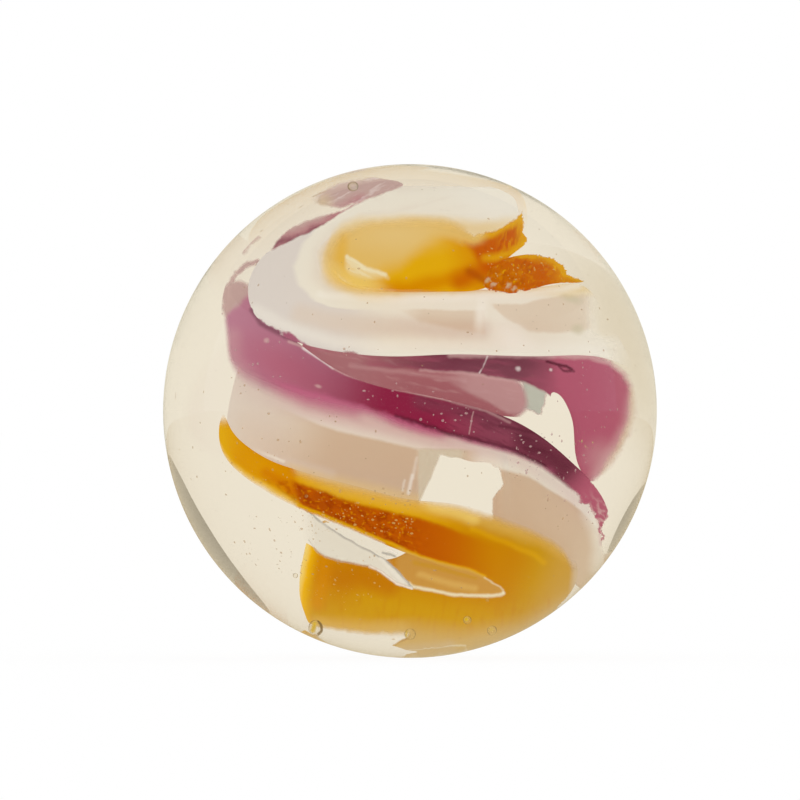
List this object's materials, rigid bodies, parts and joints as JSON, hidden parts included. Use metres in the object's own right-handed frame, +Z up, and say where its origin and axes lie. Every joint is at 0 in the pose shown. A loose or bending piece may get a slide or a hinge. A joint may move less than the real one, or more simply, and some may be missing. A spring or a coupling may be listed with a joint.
{
  "type": "glass marble",
  "caption": "Clear glass ball with white, purple and amber glass ribbons wound inside it like a corkscrew, for play, display or as a rolling ball.",
  "frame": {"origin": "centre of the ball", "axes": "+Z up along the corkscrew's axis; the side that the picture shows faces -Y, with +X to the right"},
  "size_m": [0.016, 0.016, 0.016],
  "materials": {
    "clear_glass": "fire-polished clear glass with a faint cream tint",
    "white_glass": "opal white glass inside the clear glass",
    "purple_glass": "purple glass inside the clear glass",
    "amber_glass": "amber glass inside the clear glass"
  },
  "bodies": {
    "root": {"clear_glass": "clear_glass", "upper_white_ribbon": "white_glass", "lower_white_ribbon": "white_glass", "upper_purple_ribbon": "purple_glass", "lower_purple_ribbon": "purple_glass", "upper_amber_ribbon": "amber_glass", "lower_amber_ribbon": "amber_glass", "amber_chip": "amber_glass"}
  },
  "joints": []
}
